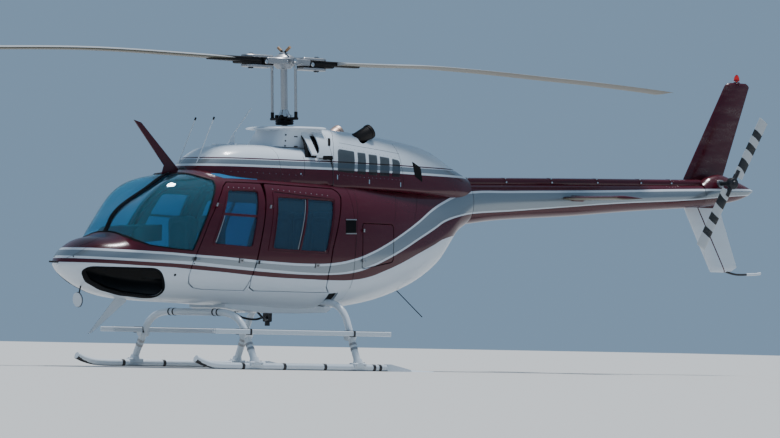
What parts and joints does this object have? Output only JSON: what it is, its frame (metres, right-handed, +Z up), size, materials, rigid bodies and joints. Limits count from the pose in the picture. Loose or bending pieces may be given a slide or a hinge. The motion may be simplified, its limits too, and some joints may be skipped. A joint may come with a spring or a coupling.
{
  "type": "light helicopter",
  "caption": "Light single-rotor turbine helicopter on high skids, with hinged cabin doors, a tapered tail boom, an anti-torque tail rotor and a swept fin.",
  "frame": {"origin": "middle of the overall length and width, on the ground under the skids", "axes": "+X to the nose, +Y to the left side (port), +Z up"},
  "size_m": [11.8473, 2.118, 3.263],
  "materials": {
    "maroon_paint": "gloss, slightly metallic",
    "white_paint": "gloss",
    "silver_paint": "satin metallic",
    "black_metal": "satin",
    "grey_metal": "satin",
    "steel": "brushed",
    "glass": "tinted, polished",
    "seat_fabric": "woven"
  },
  "bodies": {
    "airframe": {"nose_shell": "maroon_paint", "cabin_tub": "maroon_paint", "cabin_roof": "maroon_paint", "aft_fuselage": "maroon_paint", "cabin_floor": "grey_metal", "rear_bench": "seat_fabric", "instrument_panel": "black_metal", "forward_fairing": "white_paint", "transmission_fairing": "white_paint", "engine_cowl": "white_paint", "engine_block": "steel", "transmission": "steel", "tail_boom": "white_paint", "driveshaft_cover": "maroon_paint", "tail_gearbox": "white_paint", "vertical_fin": "white_paint", "front_cross_tube": "white_paint", "rear_cross_tube": "white_paint", "upper_cutter": "maroon_paint", "lower_cutter": "silver_paint", "windscreen_left": "glass", "windscreen_right": "glass", "chin_window_left": "glass", "chin_window_right": "glass", "front_seat_left": "seat_fabric", "front_seat_right": "seat_fabric", "exhaust_left": "steel", "exhaust_right": "steel", "stabilizer_left": "white_paint", "stabilizer_right": "white_paint", "skid_left": "white_paint", "skid_right": "white_paint", "step_left": "white_paint", "step_right": "white_paint"},
    "front_door_left_body": {"front_door_left": "maroon_paint", "front_door_window_left": "glass"},
    "rear_door_left_body": {"rear_door_left": "maroon_paint", "rear_door_window_left": "glass"},
    "front_door_right_body": {"front_door_right": "maroon_paint", "front_door_window_right": "glass"},
    "rear_door_right_body": {"rear_door_right": "maroon_paint", "rear_door_window_right": "glass"},
    "baggage_door_body": {"baggage_door": "maroon_paint"},
    "main_rotor": {"rotor_mast": "steel", "main_rotor_hub": "grey_metal", "main_blade_front": "silver_paint", "main_blade_rear": "silver_paint"},
    "tail_rotor": {"tail_rotor_hub": "black_metal", "tail_blade_a": "silver_paint", "tail_blade_b": "silver_paint"}
  },
  "joints": [
    {"name": "front_door_left_hinge", "type": "hinge", "parent": "airframe", "child": "front_door_left_body", "pos_m": [2.3534, 0.65, 1.14], "axis": [0.4261, 0, -0.9047], "range_deg": [0, 70]},
    {"name": "rear_door_left_hinge", "type": "hinge", "parent": "airframe", "child": "rear_door_left_body", "pos_m": [1.6022, 0.674, 1.14], "axis": [0.2266, 0, -0.974], "range_deg": [0, 70]},
    {"name": "front_door_right_hinge", "type": "hinge", "parent": "airframe", "child": "front_door_right_body", "pos_m": [2.3534, -0.65, 1.14], "axis": [-0.4261, 0, 0.9047], "range_deg": [0, 70]},
    {"name": "rear_door_right_hinge", "type": "hinge", "parent": "airframe", "child": "rear_door_right_body", "pos_m": [1.6022, -0.674, 1.14], "axis": [-0.2266, 0, 0.974], "range_deg": [0, 70]},
    {"name": "baggage_door_hinge", "type": "hinge", "parent": "airframe", "child": "baggage_door_body", "pos_m": [0.2884, 0.652, 1.245], "axis": [0, 0, -1], "range_deg": [0, 80]},
    {"name": "main_rotor_spin", "type": "hinge", "parent": "airframe", "child": "main_rotor", "pos_m": [0.8434, 0, 3.067], "axis": [0.043, 0, 0.9991], "continuous": true},
    {"name": "tail_rotor_spin", "type": "hinge", "parent": "airframe", "child": "tail_rotor", "pos_m": [-5.0716, 0.295, 2.06], "axis": [0, 1, 0], "continuous": true}
  ],
  "couplings": [
    {"joint": "tail_rotor_spin", "follows": "main_rotor_spin", "ratio": -6.46}
  ]
}
